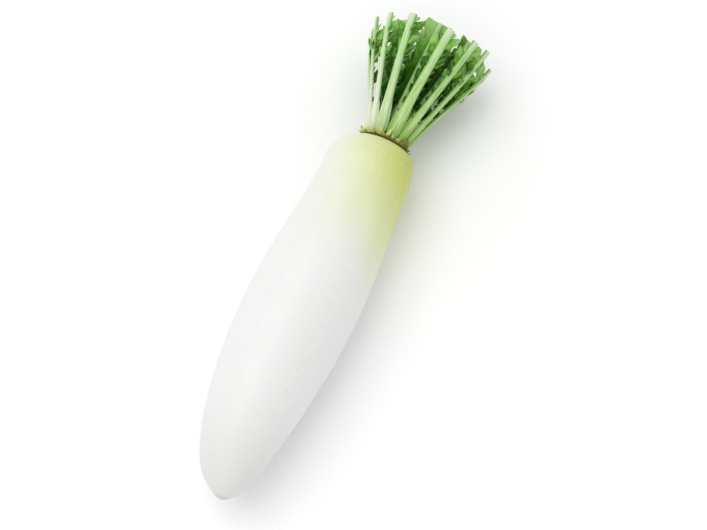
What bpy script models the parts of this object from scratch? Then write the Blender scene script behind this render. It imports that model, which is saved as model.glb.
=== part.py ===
"""A daikon radish, pulled and trimmed: taproot, short crown and a fan of cut leaf stalks.

It is modelled as it grows. Local Z is the growth axis with the leaves up, the crown's seat
is at Z = 0 and local +X is the side that ends up underneath. An empty then lays it down
along row +X, on a small flat spot under its belly whose centre is the row's origin.
All sizes are in metres.
"""

import math
import random
from collections import namedtuple

import bmesh
import bpy
from mathutils import Matrix, Vector

# Driving dimensions
ROOT_LENGTH = 0.300
ROOT_RADIUS = 0.0425
CROWN_RADIUS = 0.0193
LEAF_LENGTH = 0.097
FLAT_DEPTH = 0.0013
GAP = 0.0003

# Where the flat spot's centre lies, as a share of the root's length below the seat
REST_SHARE = 0.445
AXIS_HEIGHT = ROOT_RADIUS - FLAT_DEPTH

# The root's outline as (share of length below the seat, share of radius, sharp corner)
ROOT_OUTLINE = (
    (0.000, 0.000, True),
    (0.000, 0.475, True),
    (0.014, 0.645, False),
    (0.048, 0.782, False),
    (0.120, 0.834, False),
    (0.230, 0.894, False),
    (0.350, 0.962, False),
    (0.455, 1.000, False),
    (0.570, 0.984, False),
    (0.670, 0.906, False),
    (0.775, 0.796, False),
    (0.870, 0.648, False),
    (0.940, 0.462, False),
    (0.975, 0.300, False),
    (0.993, 0.145, False),
    (1.000, 0.055, True),
    (1.000, 0.000, True),
)
ROOT_SIDES = 44
OUTLINE_STEPS = 2

# Slow swellings of the root as (size, waves round, turn from seat to tail, phase), which
# grow from nothing over the first part of its length
SWELLINGS = (
    (0.010, 2, 2.0, 0.9),
    (0.006, 3, -5.0, 0.0),
    (0.006, 0, 19.0, -0.8),
)
SWELLING_START = 0.06

# The root's sideways bow as (share of length below the seat, offset)
BOW = (
    (0.00, 0.0000),
    (0.05, 0.0034),
    (0.12, 0.0031),
    (0.22, 0.0039),
    (0.42, 0.0063),
    (0.60, 0.0083),
    (0.76, 0.0091),
    (0.87, 0.0086),
    (0.95, 0.0067),
    (1.00, 0.0036),
)

# The crown is a low dome, and every leaf stalk leaves it square to its surface
CROWN_RISE = 0.0060
CROWN_RIM = 0.0020
DOME_DROP = CROWN_RISE - CROWN_RIM
DOME_RADIUS = (CROWN_RADIUS**2 + DOME_DROP**2) / (2 * DOME_DROP)
FAN_CENTRE = CROWN_RISE - DOME_RADIUS
CROWN_SIDES = 36
CROWN_RINGS = 5

# Dry bases of shed leaves round the crown's rim
SCALE_COUNT = 17
SCALE_RADIUS = 0.0189
SCALE_JITTER = 0.30
SCALE_WIDTHS = (0.0014, 0.0042)
SCALE_HEIGHTS = (0.0024, 0.0078)
SCALE_THICKNESSES = (0.0009, 0.0011)
SCALE_TIPS = (0.25, 0.75)
SCALE_LEANS = (math.radians(23), math.radians(40))

# Leaf stalks stand in rings: azimuth 0 is underneath, and seat and spread are the
# distances from the growth axis at the crown and at the cut
Ring = namedtuple("Ring", "name count azimuth seat spread width thick")
Leaflet = namedtuple("Leaflet", "along length width outline")
Stalk = namedtuple("Stalk", "name azimuth tilt_base tilt_end twist roll bulge girth length ring")
CUT_RADIUS = DOME_RADIUS + GAP + LEAF_LENGTH

OUTER = Ring("outer", 13, 0, 0.0151, 0.0505, 0.0031, 0.0027)
MIDDLE = Ring("middle", 7, 26, 0.0086, 0.0335, 0.0026, 0.0023)
INNER = Ring("inner", 4, 40, 0.0033, 0.0125, 0.0016, 0.0015)
RINGS = (OUTER, MIDDLE, INNER)
STALK_SIDES = 10
STALK_STATIONS = 8

# The outer stalks as (azimuth at the seat, turn by the cut, girth), in degrees: two stout
# ones on top, thinner and closer ones on one side
OUTER_PLACES = (
    (104.0, -2.0, 0.68),
    (129.5, 2.0, 0.80),
    (157.0, 0.0, 1.03),
    (195.0, 0.0, 1.14),
    (224.5, -2.0, 0.90),
    (249.5, -8.0, 0.80),
    (271.5, -8.0, 0.72),
    (292.5, -8.0, 0.74),
    (321.0, -2.0, 0.90),
    (349.5, 1.0, 0.94),
    (18.0, 1.5, 0.96),
    (47.0, -1.5, 0.88),
    (75.5, 1.0, 0.92),
)

# How much the stalks of a ring differ from each other
GIRTHS = (0.84, 1.02)
SPREADS = (0.95, 1.03)
LENGTHS = (0.95, 1.02)
TWIST = math.radians(2.5)
BULGE = math.radians(1.2)

# A stalk's half width and half thickness up its length, as shares of those at the cut
WIDTH_SHARE = ((0.00, 1.20), (0.08, 1.36), (0.20, 1.27), (0.45, 1.03), (1.00, 1.00))
THICK_SHARE = ((0.00, 1.07), (0.30, 1.04), (1.00, 1.00))

# How far the inner face is hollowed, as a share of the half thickness
GROOVE = 0.60

# The stalks grow on past the cut by this share, and the knife takes that off
OVERRUN = 1.03
KNIFE_SIZE = 0.08

# The lowest stalks bend up clear of the surface, and the next ring clear of them
RING_LIFT = {"outer": 0.0, "middle": 0.0078, "inner": 0.0160}
SURFACE_CLEARANCE = 0.0004
LOW_SIDE = 0.3

# The whole fan sways sideways by this much at the cut
FAN_SWAY = 0.0040

# A leaflet's outline as (share of length, share of half width left, right): the teeth
# show as the two sides going in and out in turn
LOBE_OUTLINE = (
    (0.00, 0.30, 0.30),
    (0.26, 0.95, 0.60),
    (0.50, 0.66, 1.00),
    (0.76, 0.80, 0.52),
    (1.00, 0.14, 0.14),
)
PEG_OUTLINE = (
    (0.00, 0.70, 0.70),
    (0.60, 1.00, 0.90),
    (1.00, 0.60, 0.35),
)
OUTER_LEAFLETS = (
    Leaflet(0.34, 0.0050, 0.0012, PEG_OUTLINE),
    Leaflet(0.50, 0.0065, 0.0016, PEG_OUTLINE),
    Leaflet(0.64, 0.0110, 0.0036, LOBE_OUTLINE),
    Leaflet(0.82, 0.0148, 0.0049, LOBE_OUTLINE),
)
BLADE_THICKNESS = 0.0008
LEAFLET_SWEEP = math.radians(34)
LEAFLET_CURLS = {-1: 0.09, 1: 0.26}
LEAFLET_FOLD = 0.30
LEAFLET_STAGGER = 0.025
LEAFLET_SIZE = 0.94
SUNK = 0.0012

# The younger leaves keep a wing of lobed blade down both edges of the stalk
WING_START = 0.26
WING_ROWS = 9
WING_NOTCH = 0.50
WING_SWEEP = 0.0058
WING_RUFFLE = 0.0011
WING_REACH = {"middle": 0.0108, "inner": 0.0062}
WING_FOOT = 0.35
WING_OPEN = {"middle": 0.30, "inner": 0.10}
WING_SKEW = 0.12
LOW_WING_LOSS = 0.3

COLOURS = {
    "root": ((0.86, 0.88, 0.76, 1.0), 0.42),
    "crown": ((0.50, 0.47, 0.19, 1.0), 0.75),
    "stalk": ((0.42, 0.58, 0.26, 1.0), 0.50),
}


def clear_scene():
    for obj in list(bpy.data.objects):
        bpy.data.objects.remove(obj)


def make_material(name):
    """A plain Principled material in the named piece's colour."""
    colour, roughness = COLOURS[name]
    material = bpy.data.materials.new(name)
    material.use_nodes = True
    shader = material.node_tree.nodes["Principled BSDF"]
    shader.inputs["Base Color"].default_value = colour
    shader.inputs["Roughness"].default_value = roughness
    shader.inputs["Metallic"].default_value = 0.0
    material.diffuse_color = colour
    return material


def add_object(name, mesh, collection):
    obj = bpy.data.objects.new(name, mesh)
    collection.objects.link(obj)
    return obj


def evaluated_mesh(obj):
    """The object's mesh with its modifiers applied."""
    bpy.context.view_layer.update()
    graph = bpy.context.evaluated_depsgraph_get()
    return bpy.data.meshes.new_from_object(obj.evaluated_get(graph))


def apply_modifiers(obj):
    mesh = evaluated_mesh(obj)
    obj.modifiers.clear()
    obj.data = mesh


def read_curve(points, x):
    """The height at x of a smooth line through points, with level ends."""
    last = len(points) - 1
    slopes = [0.0] * len(points)
    for i in range(1, last):
        run = points[i + 1][0] - points[i - 1][0]
        slopes[i] = (points[i + 1][1] - points[i - 1][1]) / run
    i = 0
    while i < last - 1 and x > points[i + 1][0]:
        i += 1
    run = points[i + 1][0] - points[i][0]
    t = min(1.0, max(0.0, (x - points[i][0]) / run))
    start = (1 + 2 * t) * (1 - t) ** 2 * points[i][1] + t * (1 - t) ** 2 * run * slopes[i]
    end = t * t * (3 - 2 * t) * points[i + 1][1] - t * t * (1 - t) * run * slopes[i + 1]
    return start + end


def turned_mesh(name, knots, sides, steps, collection):
    """A closed solid turned about Z from an outline of (z, radius, sharp corner) knots."""
    outline = bpy.data.curves.new(name, "CURVE")
    outline.dimensions = "3D"
    outline.resolution_u = steps
    spline = outline.splines.new("BEZIER")
    spline.bezier_points.add(len(knots) - 1)
    for point, (z, radius, sharp) in zip(spline.bezier_points, knots):
        point.co = (radius, 0.0, z)
        kind = "VECTOR" if sharp else "AUTO"
        point.handle_left_type = kind
        point.handle_right_type = kind
    guide = add_object(name + "_outline", outline, collection)
    profile = evaluated_mesh(guide)
    bpy.data.objects.remove(guide)
    body = add_object(name, profile, collection)
    screw = body.modifiers.new("Turn", "SCREW")
    screw.axis = "Z"
    screw.steps = sides
    screw.render_steps = sides
    screw.use_merge_vertices = True
    screw.merge_threshold = 0.00002
    mesh = evaluated_mesh(body)
    bpy.data.objects.remove(body)
    return mesh


def swelling(share, angle):
    """How much thicker than its turned outline the root is here, as a factor."""
    amount = 0.0
    for size, waves, turn, phase in SWELLINGS:
        amount += size * math.cos(waves * angle + turn * share + phase)
    return 1 + amount * min(1.0, max(0.0, share / SWELLING_START))


def root_surface(point):
    """Moves a point of the turned root to where the grown root has it."""
    share = -point.z / ROOT_LENGTH
    swell = swelling(share, math.atan2(point.y, point.x))
    moved = Vector((point.x * swell, point.y * swell + read_curve(BOW, share), point.z))
    moved.x = min(moved.x, AXIS_HEIGHT)
    return moved


def make_root(collection):
    """The taproot, with a flat seat for the crown, a cut tail and a flat spot to lie on."""
    knots = [(-share * ROOT_LENGTH, radius * ROOT_RADIUS, sharp) for share, radius, sharp in ROOT_OUTLINE]
    mesh = turned_mesh("root", knots, ROOT_SIDES, OUTLINE_STEPS, collection)
    for vertex in mesh.vertices:
        vertex.co = root_surface(vertex.co)
    mesh.shade_smooth()
    return add_object("root", mesh, collection)


def union_and_remove(body, pieces):
    """Joins a collection's objects to body with one Boolean, then removes them."""
    join = body.modifiers.new("Join", "BOOLEAN")
    join.operation = "UNION"
    join.operand_type = "COLLECTION"
    join.collection = pieces
    join.solver = "EXACT"
    apply_modifiers(body)
    for obj in list(pieces.objects):
        bpy.data.objects.remove(obj)
    bpy.data.collections.remove(pieces)


def new_collection(name):
    collection = bpy.data.collections.new(name)
    bpy.context.scene.collection.children.link(collection)
    return collection


def make_scale(index, source, pieces):
    """One dry leaf base: a flattened six-sided cone that leans out from the rim."""
    azimuth = 2 * math.pi * (index + source.uniform(-SCALE_JITTER, SCALE_JITTER)) / SCALE_COUNT
    width = source.uniform(*SCALE_WIDTHS)
    height = source.uniform(*SCALE_HEIGHTS)
    thick = source.uniform(*SCALE_THICKNESSES)
    tip = source.uniform(*SCALE_TIPS)
    builder = bmesh.new()
    bmesh.ops.create_cone(
        builder, cap_ends=True, segments=6, radius1=1.0, radius2=tip, depth=1.0
    )
    bmesh.ops.scale(builder, vec=(thick, width, height), verts=builder.verts)
    mesh = bpy.data.meshes.new("scale")
    builder.to_mesh(mesh)
    builder.free()
    scale = add_object(f"scale_{index}", mesh, pieces)
    stand = Matrix.Translation((SCALE_RADIUS, 0, CROWN_RIM * 0.5))
    lean = Matrix.Rotation(source.uniform(*SCALE_LEANS), 4, "Y")
    lift = Matrix.Translation((0, 0, height / 2))
    scale.matrix_world = Matrix.Rotation(azimuth, 4, "Z") @ stand @ lean @ lift


def make_crown(collection):
    """The short stem between root and leaves, ringed by the dry bases of shed leaves."""
    knots = [(CROWN_RISE, 0.0, True)]
    edge_angle = math.asin(CROWN_RADIUS / DOME_RADIUS)
    for ring in range(1, CROWN_RINGS + 1):
        angle = edge_angle * ring / CROWN_RINGS
        knots.append((FAN_CENTRE + DOME_RADIUS * math.cos(angle), DOME_RADIUS * math.sin(angle), True))
    knots.append((GAP, CROWN_RADIUS * 0.985, True))
    knots.append((GAP, 0.0, True))
    crown = add_object("crown", turned_mesh("dome", knots, CROWN_SIDES, 1, collection), collection)
    pieces = new_collection("crown_pieces")
    source = random.Random(4)
    for index in range(SCALE_COUNT):
        make_scale(index, source, pieces)
    union_and_remove(crown, pieces)
    return crown


def lowest_tilt(azimuth, ring):
    """The most that a stalk of this ring may tilt before it would reach the surface."""
    down = math.cos(azimuth)
    if down < LOW_SIDE:
        return math.pi / 2
    room = AXIS_HEIGHT - ring.thick - SURFACE_CLEARANCE - RING_LIFT[ring.name]
    return math.asin(min(1.0, room / down / CUT_RADIUS))


def stalk_place(ring, index, source):
    """The azimuth, turn and girth of one of a ring's stalks."""
    if ring is OUTER:
        azimuth, twist, girth = OUTER_PLACES[index]
        return math.radians(azimuth), math.radians(twist), girth
    azimuth = math.radians(ring.azimuth + 360 * index / ring.count)
    return azimuth, source.uniform(-TWIST, TWIST), source.uniform(*GIRTHS)


def grow_stalk(number, ring, index, source):
    """One stalk of a ring, a little unlike its neighbours."""
    azimuth, twist, girth = stalk_place(ring, index, source)
    free_tilt = math.asin(ring.spread * source.uniform(*SPREADS) / CUT_RADIUS)
    signed = (azimuth + math.pi) % (2 * math.pi) - math.pi
    return Stalk(
        name=f"leaf_stalk_{number:02d}",
        azimuth=azimuth,
        tilt_base=math.asin(ring.seat / DOME_RADIUS),
        tilt_end=min(free_tilt, lowest_tilt(azimuth + twist, ring)),
        twist=twist,
        roll=-signed * max(0.0, math.cos(azimuth)) ** 4,
        bulge=source.uniform(0.0, BULGE),
        girth=girth,
        length=LEAF_LENGTH * source.uniform(*LENGTHS),
        ring=ring,
    )


def grow_stalks():
    """Every leaf stalk of the fan, ring by ring."""
    source = random.Random(11)
    stalks = []
    for ring in RINGS:
        for index in range(ring.count):
            stalks.append(grow_stalk(len(stalks) + 1, ring, index, source))
    return stalks


def stalk_centre(stalk, share):
    """A point of the stalk's centreline, from its seat at share 0 to the cut at share 1."""
    ease = share * share * (3 - 2 * share)
    tilt = stalk.tilt_base + (stalk.tilt_end - stalk.tilt_base) * ease
    tilt += stalk.bulge * math.sin(math.pi * share) * share
    azimuth = stalk.azimuth + stalk.twist * ease
    reach = DOME_RADIUS + GAP + stalk.length * share
    radius = reach * math.sin(tilt)
    height = FAN_CENTRE + reach * math.cos(tilt)
    sway = FAN_SWAY * (max(0.0, height) / LEAF_LENGTH) ** 1.5
    return Vector((radius * math.cos(azimuth), radius * math.sin(azimuth) - sway, height))


def stalk_frame(stalk, share):
    """Centre and axes there: along the stalk, out from the growth axis, and to its side."""
    step = 0.004
    centre = stalk_centre(stalk, share)
    along = (stalk_centre(stalk, share + step) - stalk_centre(stalk, share - step)).normalized()
    azimuth = stalk.azimuth + stalk.twist * share * share * (3 - 2 * share)
    azimuth += stalk.roll * share
    out = Vector((math.cos(azimuth), math.sin(azimuth), 0.0))
    out = (out - along * out.dot(along)).normalized()
    return centre, along, out, along.cross(out)


def stalk_size(stalk, share):
    """Half width and half thickness: a broad sheathing foot, then nearly even."""
    width = stalk.ring.width * stalk.girth * read_curve(WIDTH_SHARE, share)
    thick = stalk.ring.thick * stalk.girth * read_curve(THICK_SHARE, share)
    return width, thick


def stalk_section(stalk, share, sides):
    """A ring of points round the stalk: round outside, flat to hollow on the inner face."""
    centre, _, out, side = stalk_frame(stalk, share)
    width, thick = stalk_size(stalk, share)
    points = []
    for k in range(sides):
        angle = 2 * math.pi * k / sides
        inner = ((1 - math.cos(angle)) / 2) ** 4
        reach = thick * (math.cos(angle) + GROOVE * inner)
        points.append(centre + out * reach + side * width * math.sin(angle))
    return points


def loft(sections):
    """A closed mesh through rings of points, all with the same number of points."""
    builder = bmesh.new()
    rows = [[builder.verts.new(point) for point in section] for section in sections]
    for low, high in zip(rows, rows[1:]):
        for k in range(len(low)):
            j = (k + 1) % len(low)
            builder.faces.new((low[k], low[j], high[j], high[k]))
    builder.faces.new(rows[0][::-1])
    builder.faces.new(rows[-1])
    bmesh.ops.recalc_face_normals(builder, faces=builder.faces)
    mesh = bpy.data.meshes.new("loft")
    builder.to_mesh(mesh)
    builder.free()
    return mesh


def sized_leaflet(stalk, leaflet, hand):
    """The leaflet as this stalk bears it on one edge: smaller on a thinner stalk."""
    size = min(1.0, stalk.girth) * LEAFLET_SIZE
    along = leaflet.along + LEAFLET_STAGGER * hand
    return leaflet._replace(along=along, length=leaflet.length * size, width=leaflet.width * size)


def leaflet_rows(stalk, leaflet, hand):
    """Rows of (left edge, midrib, right edge) points and the blade's inward direction."""
    centre, along, out, side = stalk_frame(stalk, leaflet.along)
    width, _ = stalk_size(stalk, leaflet.along)
    start = centre + side * hand * (width - SUNK)
    heading = along * math.cos(LEAFLET_SWEEP) + side * hand * math.sin(LEAFLET_SWEEP)
    inward = -out
    across = heading.cross(inward).normalized()
    rows = []
    for share, left, right in leaflet.outline:
        curl = LEAFLET_CURLS[hand] * leaflet.length * share**2
        rib = start + heading * leaflet.length * share + inward * curl
        row = []
        for reach in (-left, 0.0, right):
            rise = LEAFLET_FOLD * leaflet.width * abs(reach)
            row.append(rib + across * leaflet.width * reach + inward * rise)
        rows.append(row)
    return rows, inward


def wing_rows(stalk, hand):
    """Rows of (stalk edge, middle, blade edge) points, lobed and ruffled along the edge."""
    under = max(0.0, math.cos(stalk.azimuth))
    full_reach = WING_REACH[stalk.ring.name] * (1 - LOW_WING_LOSS * under)
    opening = (WING_OPEN[stalk.ring.name] - WING_SKEW * hand) * (1 - under)
    rows = []
    for i in range(WING_ROWS):
        share = WING_START + (1 - WING_START) * i / (WING_ROWS - 1)
        centre, along, out, side = stalk_frame(stalk, share)
        width, _ = stalk_size(stalk, share)
        lobe = 1.0 if i % 2 else WING_NOTCH
        reach = full_reach * lobe * (WING_FOOT + (1 - WING_FOOT) * share)
        ruffle = WING_RUFFLE * math.sin(2.4 * i + 3.0 * stalk.azimuth + hand)
        start = centre + side * hand * (width - SUNK)
        end = centre + side * hand * (width + reach) + out * (opening * reach + ruffle)
        end += along * WING_SWEEP * lobe
        middle = (start + end) / 2 - out * ruffle
        rows.append((start, middle, end))
    return rows, stalk_frame(stalk, 0.7)[2]


def make_blade(name, rows, outward, pieces):
    """A thin blade through rows of three points, split alike on both faces."""
    builder = bmesh.new()
    thickness = outward * BLADE_THICKNESS
    top = [[builder.verts.new(point) for point in row] for row in rows]
    under = [[builder.verts.new(point - thickness) for point in row] for row in rows]
    for i in range(len(rows) - 1):
        for k in range(2):
            for a, b, c in (((i, k), (i, k + 1), (i + 1, k + 1)), ((i, k), (i + 1, k + 1), (i + 1, k))):
                builder.faces.new((top[a[0]][a[1]], top[b[0]][b[1]], top[c[0]][c[1]]))
                builder.faces.new((under[c[0]][c[1]], under[b[0]][b[1]], under[a[0]][a[1]]))
        for k in (0, 2):
            builder.faces.new((top[i][k], top[i + 1][k], under[i + 1][k], under[i][k]))
    for i in (0, len(rows) - 1):
        for k in range(2):
            builder.faces.new((top[i][k], top[i][k + 1], under[i][k + 1], under[i][k]))
    bmesh.ops.recalc_face_normals(builder, faces=builder.faces)
    mesh = bpy.data.meshes.new(name)
    builder.to_mesh(mesh)
    builder.free()
    add_object(name, mesh, pieces)


def add_leaflets(stalk, pieces):
    """Pegs and small toothed leaflets in pairs up both edges of an outer stalk."""
    for index, leaflet in enumerate(OUTER_LEAFLETS):
        for hand in (-1, 1):
            rows, inward = leaflet_rows(stalk, sized_leaflet(stalk, leaflet, hand), hand)
            make_blade(f"leaflet_{index}_{hand}", rows, inward, pieces)


def make_stalk(stalk, knife, collection):
    """One leaf stalk with its blades, chopped square where the knife went through it."""
    shares = [OVERRUN * i / (STALK_STATIONS - 1) for i in range(STALK_STATIONS)]
    sections = [stalk_section(stalk, share, STALK_SIDES) for share in shares]
    body = add_object(stalk.name, loft(sections), collection)
    pieces = new_collection(stalk.name + "_blades")
    if stalk.ring is OUTER:
        add_leaflets(stalk, pieces)
    else:
        for hand in (-1, 1):
            rows, outward = wing_rows(stalk, hand)
            make_blade(f"wing_{hand}", rows, outward, pieces)
    union_and_remove(body, pieces)
    centre, along, out, side = stalk_frame(stalk, 1.0)
    turn = Matrix((out, side, along)).transposed().to_4x4()
    knife.matrix_world = Matrix.Translation(centre + along * KNIFE_SIZE / 2) @ turn
    chop = body.modifiers.new("Chop", "BOOLEAN")
    chop.operation = "DIFFERENCE"
    chop.object = knife
    chop.solver = "EXACT"
    apply_modifiers(body)
    return body


def make_knife(collection):
    """A block that stands for what the knife took off the top of a leaf stalk."""
    mesh = bpy.data.meshes.new("knife")
    builder = bmesh.new()
    bmesh.ops.create_cube(builder, size=KNIFE_SIZE)
    builder.to_mesh(mesh)
    builder.free()
    knife = add_object("knife", mesh, collection)
    knife.hide_render = True
    knife.display_type = "WIRE"
    return knife


def lay_down(objects, collection):
    """Parents the pieces to an empty that lays the growth axis along row +X."""
    bed = bpy.data.objects.new("lie", None)
    collection.objects.link(bed)
    bed.location = (REST_SHARE * ROOT_LENGTH, -read_curve(BOW, REST_SHARE), AXIS_HEIGHT)
    bed.rotation_euler = (0, math.pi / 2, 0)
    for obj in objects:
        obj.parent = bed


def main():
    clear_scene()
    daikon = new_collection("daikon_radish")
    cutters = new_collection("cutters")
    knife = make_knife(cutters)
    root = make_root(daikon)
    crown = make_crown(daikon)
    stalks = [make_stalk(stalk, knife, daikon) for stalk in grow_stalks()]
    root.data.materials.append(make_material("root"))
    crown.data.materials.append(make_material("crown"))
    green = make_material("stalk")
    for body in stalks:
        body.data.materials.append(green)
    lay_down([root, crown, knife, *stalks], daikon)


main()
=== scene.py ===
"""The looks of a daikon radish: a fine root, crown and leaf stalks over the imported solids.

Each piece is made as it grew: Z is the growth axis with the leaves up, the crown's seat is
at Z = 0 and +X is the side that ends up underneath. row_points() then lays it in the row
frame. All sizes are in metres and all colours are linear.
"""

import random
from collections import namedtuple
from math import asin, cos, pi, radians, sin

import bpy
import numpy as np
from mathutils import Matrix, Vector, noise


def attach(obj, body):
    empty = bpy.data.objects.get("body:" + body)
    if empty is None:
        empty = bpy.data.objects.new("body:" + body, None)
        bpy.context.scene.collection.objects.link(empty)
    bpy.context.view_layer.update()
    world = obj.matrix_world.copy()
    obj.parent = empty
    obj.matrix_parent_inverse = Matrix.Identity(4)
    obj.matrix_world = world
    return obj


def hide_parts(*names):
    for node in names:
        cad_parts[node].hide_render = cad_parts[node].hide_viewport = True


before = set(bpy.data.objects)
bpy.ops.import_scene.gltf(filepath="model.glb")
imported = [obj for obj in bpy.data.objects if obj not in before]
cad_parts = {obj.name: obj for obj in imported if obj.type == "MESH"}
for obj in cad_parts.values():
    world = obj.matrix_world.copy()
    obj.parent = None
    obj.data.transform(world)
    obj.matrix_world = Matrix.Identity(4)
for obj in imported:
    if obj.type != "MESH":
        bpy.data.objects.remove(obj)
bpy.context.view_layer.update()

# The solids' dimensions, in the same words as in the part's source
ROOT_LENGTH = 0.300
ROOT_RADIUS = 0.0425
CROWN_RADIUS = 0.0193
LEAF_LENGTH = 0.097
FLAT_DEPTH = 0.0013
GAP = 0.0003
REST_SHARE = 0.445
AXIS_HEIGHT = ROOT_RADIUS - FLAT_DEPTH

# The root's outline as (share of length below the seat, share of radius, sharp corner)
ROOT_OUTLINE = (
    (0.000, 0.000, True),
    (0.000, 0.475, True),
    (0.014, 0.645, False),
    (0.048, 0.782, False),
    (0.120, 0.834, False),
    (0.230, 0.894, False),
    (0.350, 0.962, False),
    (0.455, 1.000, False),
    (0.570, 0.984, False),
    (0.670, 0.906, False),
    (0.775, 0.796, False),
    (0.870, 0.648, False),
    (0.940, 0.462, False),
    (0.975, 0.300, False),
    (0.993, 0.145, False),
    (1.000, 0.055, True),
    (1.000, 0.000, True),
)
SWELLINGS = (
    (0.010, 2, 2.0, 0.9),
    (0.006, 3, -5.0, 0.0),
    (0.006, 0, 19.0, -0.8),
)
SWELLING_START = 0.06
BOW = (
    (0.00, 0.0000),
    (0.05, 0.0034),
    (0.12, 0.0031),
    (0.22, 0.0039),
    (0.42, 0.0063),
    (0.60, 0.0083),
    (0.76, 0.0091),
    (0.87, 0.0086),
    (0.95, 0.0067),
    (1.00, 0.0036),
)

CROWN_RISE = 0.0060
CROWN_RIM = 0.0020
DOME_DROP = CROWN_RISE - CROWN_RIM
DOME_RADIUS = (CROWN_RADIUS**2 + DOME_DROP**2) / (2 * DOME_DROP)
FAN_CENTRE = CROWN_RISE - DOME_RADIUS

SCALE_COUNT = 17
SCALE_RADIUS = 0.0189
SCALE_JITTER = 0.30
SCALE_WIDTHS = (0.0014, 0.0042)
SCALE_HEIGHTS = (0.0024, 0.0078)
SCALE_THICKNESSES = (0.0009, 0.0011)
SCALE_TIPS = (0.25, 0.75)
SCALE_LEANS = (radians(23), radians(40))

Ring = namedtuple("Ring", "name count azimuth seat spread width thick")
Leaflet = namedtuple("Leaflet", "along length width outline")
Stalk = namedtuple("Stalk", "name azimuth tilt_base tilt_end twist roll bulge girth length ring")
CUT_RADIUS = DOME_RADIUS + GAP + LEAF_LENGTH

OUTER = Ring("outer", 13, 0, 0.0151, 0.0505, 0.0031, 0.0027)
MIDDLE = Ring("middle", 7, 26, 0.0086, 0.0335, 0.0026, 0.0023)
INNER = Ring("inner", 4, 40, 0.0033, 0.0125, 0.0016, 0.0015)
RINGS = (OUTER, MIDDLE, INNER)
OUTER_PLACES = (
    (104.0, -2.0, 0.68),
    (129.5, 2.0, 0.80),
    (157.0, 0.0, 1.03),
    (195.0, 0.0, 1.14),
    (224.5, -2.0, 0.90),
    (249.5, -8.0, 0.80),
    (271.5, -8.0, 0.72),
    (292.5, -8.0, 0.74),
    (321.0, -2.0, 0.90),
    (349.5, 1.0, 0.94),
    (18.0, 1.5, 0.96),
    (47.0, -1.5, 0.88),
    (75.5, 1.0, 0.92),
)
GIRTHS = (0.84, 1.02)
SPREADS = (0.95, 1.03)
LENGTHS = (0.95, 1.02)
TWIST = radians(2.5)
BULGE = radians(1.2)
WIDTH_SHARE = ((0.00, 1.20), (0.08, 1.36), (0.20, 1.27), (0.45, 1.03), (1.00, 1.00))
THICK_SHARE = ((0.00, 1.07), (0.30, 1.04), (1.00, 1.00))
GROOVE = 0.60
RING_LIFT = {"outer": 0.0, "middle": 0.0078, "inner": 0.0160}
SURFACE_CLEARANCE = 0.0004
LOW_SIDE = 0.3
FAN_SWAY = 0.0040

LOBE_OUTLINE = (
    (0.00, 0.30, 0.30),
    (0.26, 0.95, 0.60),
    (0.50, 0.66, 1.00),
    (0.76, 0.80, 0.52),
    (1.00, 0.14, 0.14),
)
PEG_OUTLINE = (
    (0.00, 0.70, 0.70),
    (0.60, 1.00, 0.90),
    (1.00, 0.60, 0.35),
)
OUTER_LEAFLETS = (
    Leaflet(0.34, 0.0050, 0.0012, PEG_OUTLINE),
    Leaflet(0.50, 0.0065, 0.0016, PEG_OUTLINE),
    Leaflet(0.64, 0.0110, 0.0036, LOBE_OUTLINE),
    Leaflet(0.82, 0.0148, 0.0049, LOBE_OUTLINE),
)
LEAFLET_SWEEP = radians(34)
LEAFLET_CURLS = {-1: 0.09, 1: 0.26}
LEAFLET_FOLD = 0.30
LEAFLET_STAGGER = 0.025
LEAFLET_SIZE = 0.94
SUNK = 0.0012
WING_START = 0.26
WING_ROWS = 9
WING_NOTCH = 0.50
WING_SWEEP = 0.0058
WING_RUFFLE = 0.0011
WING_REACH = {"middle": 0.0108, "inner": 0.0062}
WING_FOOT = 0.35
WING_OPEN = {"middle": 0.30, "inner": 0.10}
WING_SKEW = 0.12
LOW_WING_LOSS = 0.3

# How finely the pieces are made
ROOT_RINGS = 300
ROOT_SIDES = 160
OUTLINE_STEPS = 24
CROWN_ROWS = 26
CROWN_SIDES = 144
STALK_STATIONS = 56
STALK_SIDES = 30
CUT_ROWS = 5
WING_FINE_ROWS = 90
WING_COLUMNS = 12
LEAFLET_GRID = (24, 11)
FILL_GRID = (13, 7)
SCALE_GRID = (12, 9)
SHRED_GRID = (5, 3)

# The root's wrinkles, and its green: how far down it reaches, how strong it is all round,
# and how much stronger on one side
ROOT_WRINKLE = 0.00012
WRINKLES_ROUND = 1.4
WRINKLES_ALONG = 75
GREEN_START = 0.04
GREEN_REACH = 0.41
GREEN_AROUND = 0.45
# GREEN_SIDE makes the green weaker on the lit +Y side: painted light over the root's own green
GREEN_SIDE = 0.40

# Thin sheets: how thick they are at their edges, as a share, and how soon they are full
EDGE_THICKNESS = 0.35
EDGE_ROUNDING = 0.4
# Shorter vectors than this count as having no length
TINY = 1e-12

# The crown's rough flesh, its worn foot, and the torn tops and curls of its dry scales
DOME_START = 0.01
DOME_ROUGHNESS = 0.00022
FOOT_SHARE = 0.985
FOOT_WEAR = 0.010
SCALE_TEARS = (0.78, 1.04)
SCALE_CURL = 0.12

# Dark fibres round the crown
SHRED_COUNT = 60
SHRED_LENGTHS = (0.0016, 0.0050)
SHRED_WIDTHS = (0.0003, 0.0009)
SHRED_LEANS = (radians(5), radians(75))
SHRED_BEND = 0.5

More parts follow.
